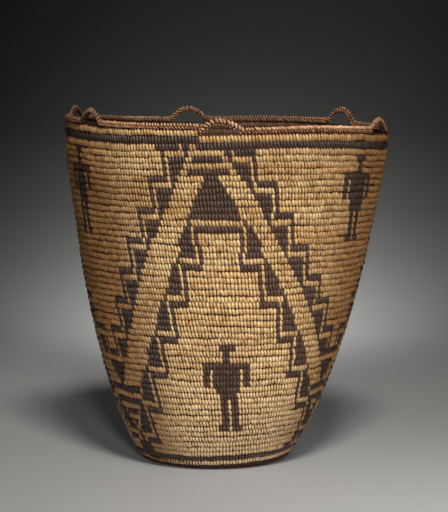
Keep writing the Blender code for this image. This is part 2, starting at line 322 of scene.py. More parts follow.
def addNode(tree, kind, settings=None, out=0, **values):
    # any node from its type, its settings, and its inputs, each by name or by number as in0
    node = tree.nodes.new("ShaderNode" + kind)
    for key, value in (settings or {}).items():
        if key == "stops":
            setStops(node.color_ramp, value)
        else:
            setattr(node, key, value)
    for key, value in values.items():
        place = int(key[2:]) if key.startswith("in") else key.replace("_", " ")
        if isinstance(value, Field):
            tree.links.new(value.socket, node.inputs[place])
        elif value is not None:
            node.inputs[place].default_value = value
    return Field(tree, node.outputs[out])


def setStops(ramp, stops):
    # shares and colours of a ramp, joined by one smooth curve
    ramp.interpolation = "B_SPLINE"
    for number, (share, colour) in enumerate(stops):
        stop = ramp.elements[number] if number < 2 else ramp.elements.new(share)
        stop.position = share
        stop.color = colour


class Finish:
    # a material and what its pattern is made of

    def __init__(self, name, **shader):
        self.material = bpy.data.materials.new(name)
        self.material.use_nodes = True
        self.tree = self.material.node_tree
        self.shader = self.tree.nodes["Principled BSDF"]
        for socket, value in shader.items():
            self.shader.inputs[socket.replace("_", " ")].default_value = value

    def node(self, kind, settings=None, out=0, **values):
        return addNode(self.tree, kind, settings, out, **values)

    def mix(self, share, first, second, blend="MIX"):
        # colour from first to second by the share
        settings = {"data_type": "RGBA", "blend_type": blend}
        return self.node("Mix", settings, out=2, in0=share, in6=first, in7=second)

    def smooth(self, value, low, high):
        # 0 below low and 1 above high, with a soft start and end
        return self.node("MapRange", {"interpolation_type": "SMOOTHSTEP"}, in0=value, in1=low, in2=high)

    def noise(self, place, scale=1.0, detail=2.0):
        return self.node("TexNoise", Vector=place, Scale=scale, Detail=detail)

    def place(self, x=1.0, y=1.0, z=1.0):
        # the object's own coordinates, stretched along each axis
        coords = self.node("TexCoord", out=3)
        return self.node("Mapping", in0=coords, in3=(x, y, z))

    def axes(self):
        # across, back and up, in metres
        return self.node("SeparateXYZ", in0=self.place()).siblings()

    def stitch(self):
        # a stitch's own tone, how far into its groove a place lies, and a second chance value
        attribute = self.node("Attribute", {"attribute_name": "strip"})
        return self.node("SeparateColor", Color=attribute).siblings()

    def link(self, socket, field):
        self.tree.links.new(field.socket, self.shader.inputs[socket])

    def bump(self, height, strength):
        self.link("Normal", self.node("Bump", Height=height, Strength=strength, Distance=fibreDepth))


def rgb(red, green, blue):
    return (red, green, blue, 1.0)


# Materials

fibreDepth = 0.0004                          # of the fibres' bump, in metres
# where the painted shade falls: the basket's axis and width for the strips' flanks, and the sides and back for
# the roots
shadeReach = {
    "middle": 0.017, "spread": 0.25, "atFloor": 0.070,       # the basket's axis and its half width by height
    "loopMiddle": 0.025, "loopSides": (0.10, 0.15), "loopBack": (0.0, 0.1),
}


def flankShare(x, height):
    # how far out to its side a place lies, squared: 0 in the middle and about 1 at the outline
    across = x - shadeReach["middle"]
    return across * across / ((shadeReach["spread"] * height + shadeReach["atFloor"]) ** 2.0)


tanFinish = {
    "cream": rgb(0.72, 0.50, 0.240), "gold": rgb(0.46, 0.255, 0.083), "amber": rgb(0.34, 0.155, 0.050),
    # the groove colour is painted shade where a stitch turns in, and also the colour of the dark specks
    "groove": rgb(0.054, 0.018, 0.003), "stain": rgb(0.20, 0.10, 0.042),
    "pale": rgb(0.86, 0.68, 0.44),         # mixed in low down: paler towards the floor
    "handled": rgb(0.48, 0.37, 0.27),      # what the flanks are multiplied by: painted shade towards the outline at both sides
    "specular": 0.22, "gloss": 0.45, "coatRoughness": 0.28,
    "fibres": (900, 900, 120), "bands": (9, 9, 46),          # scales of the pattern along each axis
    "patches": 14.0, "specks": 420.0,
    "creamByStitch": 0.75, "creamByBand": 1.7, "creamLess": 0.68,
    "amberStitches": 0.7, "amberLow": 0.15, "amberHigh": 0.4,
    "stainShare": 0.35, "speckShare": 0.55, "paleShare": 0.30, "grooveShadePower": 1.9,
}


def makeTan():
    # cream to gold by stitch and by band, some stitches and patches amber, paler near the floor, painted shade
    # that darkens the flanks towards the outline, and painted shade in the grooves: the groove's colour by
    # cavity^1.9
    values = tanFinish
    finish = Finish(
        "tanStrip", Specular_IOR_Level=values["specular"], Coat_Roughness=values["coatRoughness"])
    tone, cavity, chance = finish.stitch()
    x, _, height = finish.axes()
    fibre = finish.noise(finish.place(*values["fibres"]), detail=3.0)
    patch = finish.noise(finish.place(), values["patches"], detail=3.0)
    band = finish.noise(finish.place(*values["bands"]))
    speck = finish.noise(finish.place(), values["specks"])
    cream = values["creamByStitch"] * tone + values["creamByBand"] * band - values["creamLess"]
    amber = patch.between(0.48, 0.72) * (values["amberLow"] + values["amberHigh"] * height.between(0.05, 0.2))
    flank = finish.smooth(flankShare(x, height) + 0.4 * patch - 0.2, 0.12, 0.95)
    colour = finish.mix(cream.clip(), values["gold"], values["cream"])
    colour = finish.mix(chance.between(0.72, 1.0) * values["amberStitches"], colour, values["amber"])
    colour = finish.mix(amber, colour, values["amber"])
    colour = finish.mix(fibre.between(0.35, 0.75) * values["stainShare"], colour, values["stain"])
    colour = finish.mix(speck.between(0.64, 0.76) * values["speckShare"], colour, values["groove"])
    colour = finish.mix((1.0 - height.between(0.0, 0.16)) * values["paleShare"], colour, values["pale"])
    # painted shade: the flanks are multiplied darker towards the outline
    colour = finish.mix(flank, colour, values["handled"], "MULTIPLY")
    # painted shade in the grooves, by cavity
    colour = finish.mix(cavity ** values["grooveShadePower"], colour, values["groove"])
    finish.link("Base Color", colour)
    finish.link("Roughness", 0.40 + 0.3 * fibre)
    finish.link("Coat Weight", (1.0 - cavity) ** 2.0 * values["gloss"])
    finish.bump(fibre + 0.4 * speck, 0.35)
    return finish.material


darkFinish = {
    "brown": rgb(0.084, 0.042, 0.026), "purple": rgb(0.140, 0.080, 0.056), "black": rgb(0.030, 0.017, 0.012),
    # the groove colour is painted shade between the stitches; the flanks are multiplied by painted shade
    "groove": rgb(0.014, 0.005, 0.002), "handled": rgb(0.45, 0.45, 0.45),
    "specular": 0.24, "gloss": 0.45, "coatRoughness": 0.30,
    "fibres": (900, 900, 120), "zones": (14, 14, 30),
    "brownByStitch": 0.6, "brownByZone": 1.8, "brownLess": 0.65,
    "ringLess": 0.45, "ringHeights": (0.29, 0.31),           # the top ring is blacker than the rest
    "purpleShare": 0.7, "grooveShadePower": 1.4,
}


def makeDark():
    # black to brown by stitch and by zone, purple fibres, and painted shade: darker on the flanks towards the
    # outline and in the grooves
    values = darkFinish
    finish = Finish(
        "darkStrip", Specular_IOR_Level=values["specular"], Coat_Roughness=values["coatRoughness"])
    tone, cavity, _ = finish.stitch()
    x, _, height = finish.axes()
    fibre = finish.noise(finish.place(*values["fibres"]), detail=3.0)
    zone = finish.noise(finish.place(*values["zones"]))
    ring = values["ringLess"] * height.between(*values["ringHeights"])
    flank = finish.smooth(flankShare(x, height), 0.2, 0.95)
    brown = values["brownByStitch"] * tone + values["brownByZone"] * zone - values["brownLess"] - ring
    colour = finish.mix(brown.clip(), values["black"], values["brown"])
    colour = finish.mix(fibre.between(0.4, 0.8) * values["purpleShare"], colour, values["purple"])
    # painted shade on the flanks towards the outline
    colour = finish.mix(flank, colour, values["handled"], "MULTIPLY")
    # painted shade in the grooves, by cavity
    colour = finish.mix(cavity ** values["grooveShadePower"], colour, values["groove"])
    finish.link("Base Color", colour)
    finish.link("Roughness", 0.38 + 0.3 * fibre)
    finish.link("Coat Weight", (1.0 - cavity) ** 2.0 * values["gloss"])
    finish.bump(fibre, 0.35)
    return finish.material


rootFinish = {
    # each kind of root: its dark and its light colour, and its roughness
    "inside": (rgb(0.14, 0.055, 0.025), rgb(0.26, 0.115, 0.055), 0.62),
    # under the base: much darker than the inside, painted shade where the base sits on the floor
    "below": (rgb(0.035, 0.015, 0.007), rgb(0.080, 0.036, 0.018), 0.70),
    "core": (rgb(0.030, 0.012, 0.005), rgb(0.050, 0.020, 0.009), 0.75),
    "braid": (rgb(0.38, 0.160, 0.070), rgb(0.76, 0.440, 0.235), 0.52),
    "hatch": (rgb(0.20, 0.070, 0.030), rgb(0.58, 0.280, 0.140), 0.55),
    "loop": (rgb(0.30, 0.124, 0.058), rgb(0.74, 0.430, 0.240), 0.50),
    # the groove colour is painted shade between the splints, and also the colour of the grain's dark streaks
    "groove": rgb(0.020, 0.006, 0.0015),
    "handled": rgb(0.25, 0.22, 0.19),      # the same painted shade as on the strips, for the loops at both sides, and darker behind
    "specular": 0.28, "grain": (700, 700, 300), "patches": 22.0, "grainShare": 0.4, "grooveShadePower": 1.5,
}


def makeRoot(kind):
    # dark to light by splint and patch, with a fine grain; painted shade makes it darker at both sides, behind
    # and in the grooves
    low, high, roughness = rootFinish[kind]
    finish = Finish(kind + "Root", Specular_IOR_Level=rootFinish["specular"])
    tone, cavity, _ = finish.stitch()
    x, y, _ = finish.axes()
    grain = finish.noise(finish.place(*rootFinish["grain"]), detail=3.0)
    patch = finish.noise(finish.place(), rootFinish["patches"], detail=3.0)
    sides = finish.smooth((x - shadeReach["loopMiddle"]).math("ABSOLUTE"), *shadeReach["loopSides"])
    flank = sides + 0.5 * y.between(*shadeReach["loopBack"])
    colour = finish.mix((tone * 0.7 + patch * 0.6 - 0.15).clip(), low, high)
    colour = finish.mix(grain.between(0.45, 0.8) * rootFinish["grainShare"], colour, rootFinish["groove"])
    # painted shade at both sides and behind
    colour = finish.mix(flank.clip(), colour, rootFinish["handled"], "MULTIPLY")
    # painted shade in the grooves, by cavity
    colour = finish.mix(cavity ** rootFinish["grooveShadePower"], colour, rootFinish["groove"])
    finish.link("Base Color", colour)
    finish.link("Roughness", roughness - 0.1 + 0.25 * grain)
    finish.bump(grain, 0.3)
    return finish.material


tanStrip = makeTan()
darkStrip = makeDark()
insideRoot, underShadeRoot, coreRoot, braidRoot, hatchRoot, loopRoot = (
    makeRoot(kind) for kind in ("inside", "below", "core", "braid", "hatch", "loop"))
print("materials made")


# The woven design. Angles are true degrees from the front, rows count down from the rim along the coil, and
# widths are whole stitches

design = {
    "drift": 0.27,                                     # stitches to the right for each row down
    "peakTurn": 120.0,                                 # from one peak to the next
    # where each step starts: its bar's row, and the angle of that bar's inner end
    "outerRight": (
        (-3, -5.5), (2, 2.7), (7, 11.0), (12, 18.2), (17, 26.1), (22, 34.8), (26, 42.3), (31, 50.9)),
    "outerLeft": (
        (-4, -11.0), (1, -15.6), (6, -20.2), (11, -25.3), (16, -31.5), (21, -37.2), (26, -42.0), (31, -48.8)),
    "innerRight": ((14, -1.1), (20, 7.4), (26, 16.2), (32, 25.9), (38, 35.3), (44, 48.4), (50, 60.4)),
    "innerLeft": ((14, -2.4), (20, -6.9), (26, -12.5), (32, -18.6), (38, -25.3), (44, -31.7), (50, -38.6)),
    "plainRows": 2, "outerEnd": 36, "innerStart": 14, "innerAnchors": 16, "barsStart": 41, "runOn": 50,
    "closest": 2.5,                                    # stitches between two anchors, at the least
    "bar": 6,                                          # a step's bar; its last stitch goes on as an upright
    "upright": 4,                                      # rows of an outer step's upright
    "wedgeEnd": 4, "wedgeRows": (2, 6), "wedgeTip": 3,     # the dark triangle inside an outer step
    "innerWedge": (2, 3, 4, 4, 5, 5), "wedgeOut": 7,       # the one outside an inner step, by row
    "jogBar": (0, 7), "jogEdge": (-7, -5),                 # more dark strips up to the jog, in the ring's row
    "peakWidths": {6: 4, 7: 6, 8: 8, 9: 10, 10: 12, 11: 14, 12: 15},
    "peakBars": {3: (-5, 4), 5: (-6, 6), 14: (-7, 7)},
    "rightMeeting": (31, 62.5, 0.42, 17),              # row, angle, degrees a row, and the last row above it
    "leftMeeting": ((3, -62.5), (16, -63.0), (31, -60.3), (40, -57.8), (50, -55.0)),
    "meetingRow": 31, "meetingBar": 3, "meetingPoint": 4,
    # where the people stand, row and angle of their axis: the low one in front, and the one on the right
    "lowAxis": ((33, 2.8), (40, 4.2), (42, 5.3), (47, 7.6)),
    "rightAxis": ((3, 53.7), (8, 54.6), (12, 54.8), (16, 56.2)),
    "person": "head neck neck shoulders arms arms arms torso torso legs legs legs legs feet".split(),
    "lowPerson": "head neck neck shoulders arms arms arms torso hips legs legs legs legs legs feet".split(),
    # dark stitches of each part, counted from the axis
    "broad": {
        "head": ((-2, 3),), "neck": ((-1, 1),), "shoulders": ((-7, 7),), "arms": ((-7, -5), (-4, 4), (5, 7)),
        "torso": ((-3, 4),), "hips": ((-2, 3),), "legs": ((-2, 0), (1, 3)), "feet": ((-3, 0), (1, 4)),
    },
    "slim": {
        "head": ((-2, 2),), "neck": ((-1, 1),), "shoulders": ((-6, 6),), "arms": ((-6, -4), (-3, 3), (4, 6)),
        "torso": ((-3, 3),), "legs": ((-3, -1), (0, 2)), "feet": ((-4, -1), (0, 3)),
    },
}


def stitchAngle(row):
    # width of one stitch in degrees at a row's radius
    r = outlinePoint(np.array(lastRow + 0.5 - row), 0.0)[0]
    return math.degrees(basket["stitchWidth"] / float(r))


def alongRows(table, row):
    # the angle that a table of rows and angles gives between its entries
    return float(np.interp(row, *zip(*table)))


def unitStart(table, row):
    # the step unit that holds this row: the rows below its bar, and where its inner end has drifted
    first, angle = table[0]
    for unitRow, unitAngle in table:
        if unitRow <= row:
            first, angle = unitRow, unitAngle
    return row - first, angle + design["drift"] * stitchAngle(row) * (row - first)


def meeting(row):
    # middles of the three places where neighbouring legs meet: right, back, left
    firstRow, angle, growth, lastAbove = design["rightMeeting"]
    right = angle + growth * (row - firstRow) if row > lastAbove else alongRows(design["rightAxis"], row)
    return right, right + design["peakTurn"], alongRows(design["leftMeeting"], row)


def legsAt(row):
    # all six legs at a row: side, and (rows below the bar, inner end) of its outer and inner steps
    right, back, left = meeting(row)
    rightLeg = unitStart(design["outerRight"], row), unitStart(design["innerRight"], row)
    leftLeg = unitStart(design["outerLeft"], row), unitStart(design["innerLeft"], row)

    def mirror(leg, middle):
        return [(below, 2 * middle - angle) for below, angle in leg]

    def turned(leg, by):
        return [(below, angle + by) for below, angle in leg]
    sideLeg = turned(rightLeg, design["peakTurn"])
    return {
        "frontRight": (1, *rightLeg),
        "sideLeft": (-1, *mirror(rightLeg, right)),
        "sideRight": (1, *sideLeg),
        "backLeft": (-1, *turned(mirror(sideLeg, back), -360)),
        "backRight": (1, *mirror(leftLeg, left)),
        "frontLeft": (-1, *leftLeg),
    }


def lowPersonRow(row):
    # rows below the top of the low person's head, or None beside it
    below = row - design["lowAxis"][0][0]
    return below if 0 <= below < len(design["lowPerson"]) else None


def middlesAt(row):
    # the design's three axes, half way between its inner steps
    start = design["innerStart"]
    legs = legsAt(max(row, start))
    pairs = (("frontLeft", "frontRight"), ("sideLeft", "sideRight"), ("backLeft", "backRight"))
    shift = (row - start) / 3 - 0.6 if row < start else 0.0
    middles = [0.5 * (legs[a][2][1] + legs[b][2][1]) + shift for a, b in pairs]
    if lowPersonRow(row) is not None:
        shift = alongRows(design["lowAxis"], row) - middles[0]
        middles = [middle + shift for middle in middles]
    return middles


class Round:
    # one round of coil: whole stitches between anchors at set angles, and which of them are dark

    def __init__(self, anchors, size):
        counts = [max(1, round((b - a) / size)) for a, b in zip(anchors[:-1], anchors[1:])]
        self.anchors = anchors
        self.marks = np.concatenate([[0], np.cumsum(counts)])
        self.edges = np.interp(np.arange(self.marks[-1] + 1), self.marks, anchors)
        self.dark = np.zeros(self.marks[-1], bool)

    def at(self, angle):
        # the edge of a stitch next to an angle
        return int(round(float(np.interp(angle, self.anchors, self.marks))))

    def paint(self, origin, low, high, side=1):
        # dark from low to high, counted from the origin to the right, or to the left where the side is -1
        first, last = (origin + low, origin + high) if side > 0 else (origin - high, origin - low)
        self.dark[max(first, 0):max(last, 0)] = True


def anchorsAt(row, size, legs, middles):
    # the angles at which a round's stitches have to end, no two of them close together
    right, back, left = meeting(row)
    anchors = [back - 360, back]
    wanted = [middles[0]]
    if row >= design["plainRows"]:
        wanted += [outer[1] for _, outer, _ in legs.values() if row < design["outerEnd"]]
        wanted += [inner[1] for _, _, inner in legs.values() if row >= design["innerAnchors"]]
        wanted += [right, left] + middles[1:]
    for angle in wanted:
        gap = min(abs(angle - other) for other in anchors)
        if gap > design["closest"] * size and back - 360 < angle < back:
            anchors.append(angle)
    return sorted(anchors)


def paintOuter(coil, row, side, below, origin):
    # an outer step: bar, upright under its outer end, and the triangle inside, with its tip in the next step
    firstWedge, lastWedge = design["wedgeRows"]
    if 0 < row < design["outerEnd"]:
        if below == 0:
            coil.paint(origin, 0, design["bar"], side)
        if 1 <= below <= design["upright"]:
            coil.paint(origin, design["bar"] - 1, design["bar"], side)
        if firstWedge <= below <= lastWedge:
            coil.paint(origin, below - design["wedgeTip"], design["wedgeEnd"], side)
        if below <= 1:
            coil.paint(origin, below - design["wedgeTip"], -1, side)
    if row == 1 and side < 0:
        coil.paint(origin, *design["jogBar"], side)
        coil.paint(origin, *design["jogEdge"], side)


def innerWedge(below):
    # how wide the triangle outside an inner step is, some rows below its bar
    widths = design["innerWedge"]
    return widths[min(below, len(widths) - 1)]


def paintInner(coil, row, side, below, origin):
    # an inner step: bar, upright down to the next bar, and the triangle outside, cut down to a tip at its foot
    out = design["wedgeOut"]
    foot = len(design["innerWedge"]) - 1
    if row >= design["innerStart"]:
        width = innerWedge(below)
        coil.paint(origin, 0 if below == 0 else design["bar"] - 1, design["bar"], side)
        if below < foot:
            coil.paint(origin, out, out + width, side)
        if below == foot:
            coil.paint(origin, out + width, out + width + 1, side)
    if row == design["innerStart"] - 1:
        coil.paint(origin, out, out + 1, side)


def paintPeak(coil, row, origin):
    # the filled peak between the legs, the bars above and under it, and the low person
    if row in design["peakWidths"]:
        width = design["peakWidths"][row]
        coil.paint(origin, -((width + 1) // 2), width // 2)
    if row in design["peakBars"]:
        coil.paint(origin, *design["peakBars"][row])
    if lowPersonRow(row) is not None:
        paintPerson(coil, origin, "broad", design["lowPerson"][lowPersonRow(row)])


def paintPerson(coil, origin, build, part):
    # one row of a standing person in stitches
    for low, high in design[build][part]:
        coil.paint(origin, low, high)


def paintMeeting(coil, origin, below):
    # under the last outer steps: two uprights, a bar that closes them four rows down, and a triangle
    bar = design["meetingBar"]
    if 1 <= below <= 3:
        coil.paint(origin, -bar, 1 - bar)
        coil.paint(origin, bar - 1, bar)
    if below == 4:
        coil.paint(origin, -bar, bar)
    half = design["meetingPoint"] + 6 - below
    if below >= 6 and half > 0:
        coil.paint(origin, -half, half)


def paintLowBars(coil, legs):
    # dark from triangle to triangle between neighbouring peaks; the back one runs over the ends of the round
    ends = {}
    for name, (side, _, (below, start)) in legs.items():
        ends[name] = coil.at(start) + side * (design["wedgeOut"] + innerWedge(below) + 1)
    spans = (
        (ends["frontRight"], ends["sideLeft"]), (ends["sideRight"], coil.marks[-1]),
        (0, ends["backLeft"]), (ends["backRight"], ends["frontLeft"]))
    for low, high in spans:
        coil.dark[max(low, 0):max(high, 0)] = True


def layRow(row):
    # one round of coil: the edges of its stitches in degrees, and which stitches are dark
    size = stitchAngle(row)
    legs = legsAt(row)
    middles = middlesAt(row)
    coil = Round(anchorsAt(row, size, legs, middles), size)
    for side, (below, start), (innerBelow, innerStart) in legs.values():
        paintOuter(coil, row, side, below, coil.at(start))
        paintInner(coil, row, side, innerBelow, coil.at(innerStart))
    for middle in middles:
        paintPeak(coil, row, coil.at(middle))
    # people at the meetings: angle, top row, rows ahead, build. The back one is cut in two by the ends of the
    # round, and the start of a round is level with the end of the next
    right, back, left = meeting(row)
    people = (
        (right, 3, 0, "broad"), (back, 3, 0, "broad"), (back - 360, 2, 1, "broad"), (left, 2, 0, "slim"))
    for middle, top, ahead, build in people:
        if 0 <= row - top < len(design["person"]):
            paintPerson(coil, coil.at(middle), build, design["person"][row - top])
        paintMeeting(coil, coil.at(middle), row + ahead - design["meetingRow"])
    if row >= design["barsStart"] and row % 2 == 1:
        paintLowBars(coil, legs)
    return coil.edges, coil.dark


def layStitches():
    # every folded strip of the wall: level of its lower edge at its middle, edges, row and colour
    parts = []
    for lap in range(-1, lastRow):
        edges, dark = layRow(lap)
        low = np.radians(edges[:-1])
        high = np.radians(edges[1:])
        middle = 0.5 * (low + high)
        level = lastRow - lap + (middle - jog) / fullTurn
        row = np.where(middle < jog, lap + 1, lap)
        if lap >= design["runOn"]:                               # the lowest rows run on past the jog
            row = 0 * row + min(lap + 1, lastRow)
        parts.append(np.stack([level, low, high, row, dark.astype(float)], -1))
    stitches = np.concatenate(parts)
    for side in (1, 2):
        stitches[:, side] += np.radians(readTable("slip", stitches[:, 0], stitches[:, side]))
    return stitches[stitches[:, 3] >= 0]


stitchShape = {
    "rib": basket["ribDepth"], "ribPower": 2.2,
    "lean": 0.22,            # sideways slip of a stitch's top, as a share of its height
    "crown": 0.0016, "crownPower": 2.6,      # how far its middle stands above its sides
    "endDrop": 0.0005, "endPower": 4,
    "overlap": 1.03,
    "sizeChance": 0.09, "leanChance": 0.08, "depthChance": 0.00018, "liftChance": 0.030,
    "runLift": 0.050,        # the same for a run of seven neighbours
    "reach": 0.53,           # half the height of a stitch in courses
    "gap": 0.022,            # how much shorter it is where a run stands high
    # the groove measure at a stitch's sides and ends, which the materials turn into painted shade in the
    # grooves and a thinner coat
    "sideGroove": 2.2, "endGroove": 0.72, "endGroovePower": 6,
    "toneChance": 0.26,
}


def stitchGrid(stitches, outward, across, along, shape):
    # a pillow for every stitch: u across and v along it from -1 to 1. Depth = rib*|v|^ribPower
    # + crown*|u|^crownPower + endDrop*|v|^endPower, and inside it counts from the wall's inner face
    count = len(stitches)
    u = np.linspace(-1, 1, across)[None, :, None]
    v = np.linspace(-1, 1, along)[None, None, :]
    level, low, high = (stitches[:, k][:, None, None] for k in range(3))
    chance = rng.normal(0, 1, (count, 4))[:, :, None, None]
    half = 0.5 * (high - low) * (shape["overlap"] + shape["sizeChance"] * chance[:, 0])
    run = np.convolve(rng.normal(0, 1, count + 6), np.full(7, 7 ** -0.5), "valid")[:, None, None]
    lift = shape["liftChance"] * chance[:, 3] + shape["runLift"] * run
    reach = shape["reach"] - shape["gap"] * np.clip(run, 0, 2)
    atLevel = level + 0.5 + lift + v * reach
    radius = np.maximum(outlinePoint(level + 0.5, 0.0)[0], 0.002)
    lean = (shape["lean"] + shape["leanChance"] * chance[:, 1]) * course / radius
    angle = 0.5 * (low + high) + u * half - v * 0.5 * lean
    rib = shape["rib"] * np.minimum(np.abs(v), 1.0) ** shape["ribPower"]
    crown = shape["crown"] * np.abs(u) ** shape["crownPower"]
    endDrop = shape["endDrop"] * np.abs(v) ** shape["endPower"]
    depth = rib + crown + endDrop + shape["depthChance"] * chance[:, 2]
    if not outward:
        depth = basket["wallDepth"] - depth
    points = coilPoint(atLevel + 0 * u, angle, depth)
    # the groove measure that the materials turn into painted shade
    sideGroove = np.abs(u) ** shape["sideGroove"] + 0 * v
    endGroove = shape["endGroove"] * np.abs(v) ** shape["endGroovePower"] + 0 * u
    cavity = np.clip(np.maximum(sideGroove, endGroove), 0, 1)
    tone = np.clip(0.5 + shape["toneChance"] * rng.normal(0, 1, (count, 1, 1)), 0, 1)
    second = rng.uniform(0, 1, (count, 1, 1))
    full = np.zeros((count, across, along))
    colours = np.stack([tone + full, cavity + full, second + full, full + 1], -1)
    return points, colours


def stitchPiece(name, stitches, material, nodes=(), outward=True, grid=5, shape=stitchShape):
    # one piece of all these stitches, each a small grid of its own
    points, colours = stitchGrid(stitches, outward, grid, grid, shape)
    quads = patchQuads(len(stitches), grid, grid, flip=not outward)
    makePiece(name, points, quads, material, nodes, colours.reshape(-1, 4))


wallStitches = layStitches()
row = wallStitches[:, 3]
isDark = wallStitches[:, 4] > 0.5
field = (row >= design["plainRows"]) & (row <= lastRow - 2)
upper = row < basket["splitRow"]
stitchPiece("strips_upper", wallStitches[field & ~isDark & upper], tanStrip, ("strips_field",))
stitchPiece("strips_lower", wallStitches[field & ~isDark & ~upper], tanStrip)
stitchPiece("zigzags_and_figures", wallStitches[field & isDark], darkStrip)
stitchPiece("top_row", wallStitches[row == 0], tanStrip, ("strips_rim_tan",))
stitchPiece("top_ring", wallStitches[row == 1], darkStrip, ("strips_rim_dark",))
stitchPiece("bottom_ring", wallStitches[row == lastRow - 1], darkStrip, ("strips_base_dark",))
stitchPiece("bottom_row", wallStitches[row == lastRow], tanStrip, ("strips_base_tan",))


# Inside of the wall and both sides of the base: split root sewn over the same coil

def layPlain(lowLap, highLap):
    # even stitches all round each lap: level of the lower edge, and both edges
    parts = []
    for lap in range(lowLap, highLap):
        level = lastRow - lap
        radius = float(outlinePoint(np.array(max(level, lowestLevel + 0.6)), 0.0)[0])
        count = max(5, round(fullTurn * radius / basket["stitchWidth"]))
        edges = jog + fullTurn * np.arange(count + 1) / count
        middle = 0.5 * (edges[:-1] + edges[1:])
        atLevel = level + (middle - jog) / fullTurn
        parts.append(np.stack([atLevel, edges[:-1], edges[1:]], -1))
    return np.concatenate(parts)


insideShape = {
    **stitchShape,
    "rib": basket["innerRibDepth"], "ribPower": 1.5, "lean": -0.25, "crown": 0.0004, "endDrop": 0.0002,
}
belowShape = {**insideShape, "depthChance": 0.0}


def makeInside():
    inside = layPlain(0, basket["wallCourses"])
    high = inside[:, 0] > basket["splitLevel"]
    for name, stitches in (("inside_upper", inside[high]), ("inside_lower", inside[~high])):
        stitchPiece(name, stitches, insideRoot, outward=False, grid=4, shape=insideShape)


def makeBase():
    base = layPlain(lastRow, lastRow + basket["baseRounds"])
    base = base[base[:, 0] > lowestLevel + 0.3]
    stitchPiece("base_inside", base, insideRoot, outward=False, grid=4, shape=insideShape)
    # the underside takes the darker root, painted shade under the base
    stitchPiece("base_underside", base, underShadeRoot, ("base_coil",), grid=4, shape=belowShape)


def makeCore():
    # the closed body behind the stitches: outer face, over the seat, inner face; level runs one course a turn
    columns = 104
    f = np.linspace(0, 1, columns + 1)[None, :]
    turns = np.arange(math.ceil(lowestLevel), basket["wallCourses"] + 2)[:, None].astype(float)
    level = np.minimum(np.maximum(turns + f, lowestLevel + 0.05), seatLevel(jog + fullTurn * f))
    angle = jog + fullTurn * f + 0 * turns
    outer = coilPoint(level, angle, basket["stripThickness"])
    inner = coilPoint(level, angle, basket["wallDepth"] - basket["innerThickness"])
    points = np.concatenate([outer, inner[::-1]])
    quads = gridQuads(len(points), columns + 1, closeRows=True)
    nodes = ("wall_coil_low", "wall_coil_middle", "wall_coil_high", "base_start", "rim_coil")
    makePiece("coil_core", points, quads, coreRoot, nodes)


makeInside()
makeBase()
makeCore()
print("coil and strips laid")


# Rim: overcast braid in six stretches, and a wrapped loop between each two

rim = {
    "braidWidth": 0.0078, "braidHeight": 0.0051, "stitch": 0.0031, "loopStitch": 0.0037,
    "loopSpan": 0.0456, "loopRise": 0.0170, "loopCord": 0.0060, "archPower": 1.9,
    "wrap": -0.0005,                 # what the splints' middle line adds to a loop's cord
    "turnIn": 0.0030,                # how softly the coil bends up into a loop
    "lap": 0.0030, "dip": 0.0022,    # how far the coil's end runs past the jog, and how deep it bends down
    "dipLength": 0.008, "startShort": 0.0004, "fit": 0.0002,
    "traceStep": 0.0006, "fineStep": 0.0004,
    "footHeight": 0.45,              # of a loop's foot, to its middle line, as a share of the braid's height
    "rollSides": 18, "rollStep": 0.0012, "rollSunk": -0.0014,
    # angle in degrees, then span, rise and shift of the peak as shares
    "loops": {
        "front": (-1.3, 0.95, 0.89, -0.105),
        "right": (68.0, 1.0, 0.86, 0.0),
        "back_right": (129.8, 0.92, 1.11, 0.0),
        "back": (195.0, 0.90, 1.0, 0.04),
        "back_left": (257.5, 0.85, 0.83, 0.0),
        "left": (305.2, 0.78, 0.97, 0.0),
    },
    # the stretch of braid after each loop
    "braids": {
        "front": "front_right", "right": "right", "back_right": "back_right",
        "back": "back_left", "back_left": "left", "left": "front_left",
    },
}
rimRadius = basket["rimRadius"] - 0.5 * basket["wallDepth"]


def arch(name, share):
    # a loop's middle line: height = rise * (1 - |share|^power), with its peak shifted along the rim
    spanShare, riseShare, peakShare = rim["loops"][name][1:]
    fall = np.abs(share) ** rim["archPower"]
    along = 0.5 * rim["loopSpan"] * spanShare * share + rim["loopSpan"] * peakShare * (1 - fall)
    return along, (rim["loopRise"] * riseShare - 0.5 * rim["loopCord"]) * (1 - fall)


def fillerHeight(angle):
    # what is left of the coil between the top row of strips and the seat
    part = (angle - jog) / fullTurn
    return course * np.interp(part, basket["fillerTurns"], basket["fillerCourses"])


def braidLine(run):
    # height of the braid's middle line over the seat
    return 0.5 * (rim["braidHeight"] - fillerHeight(run / rimRadius))


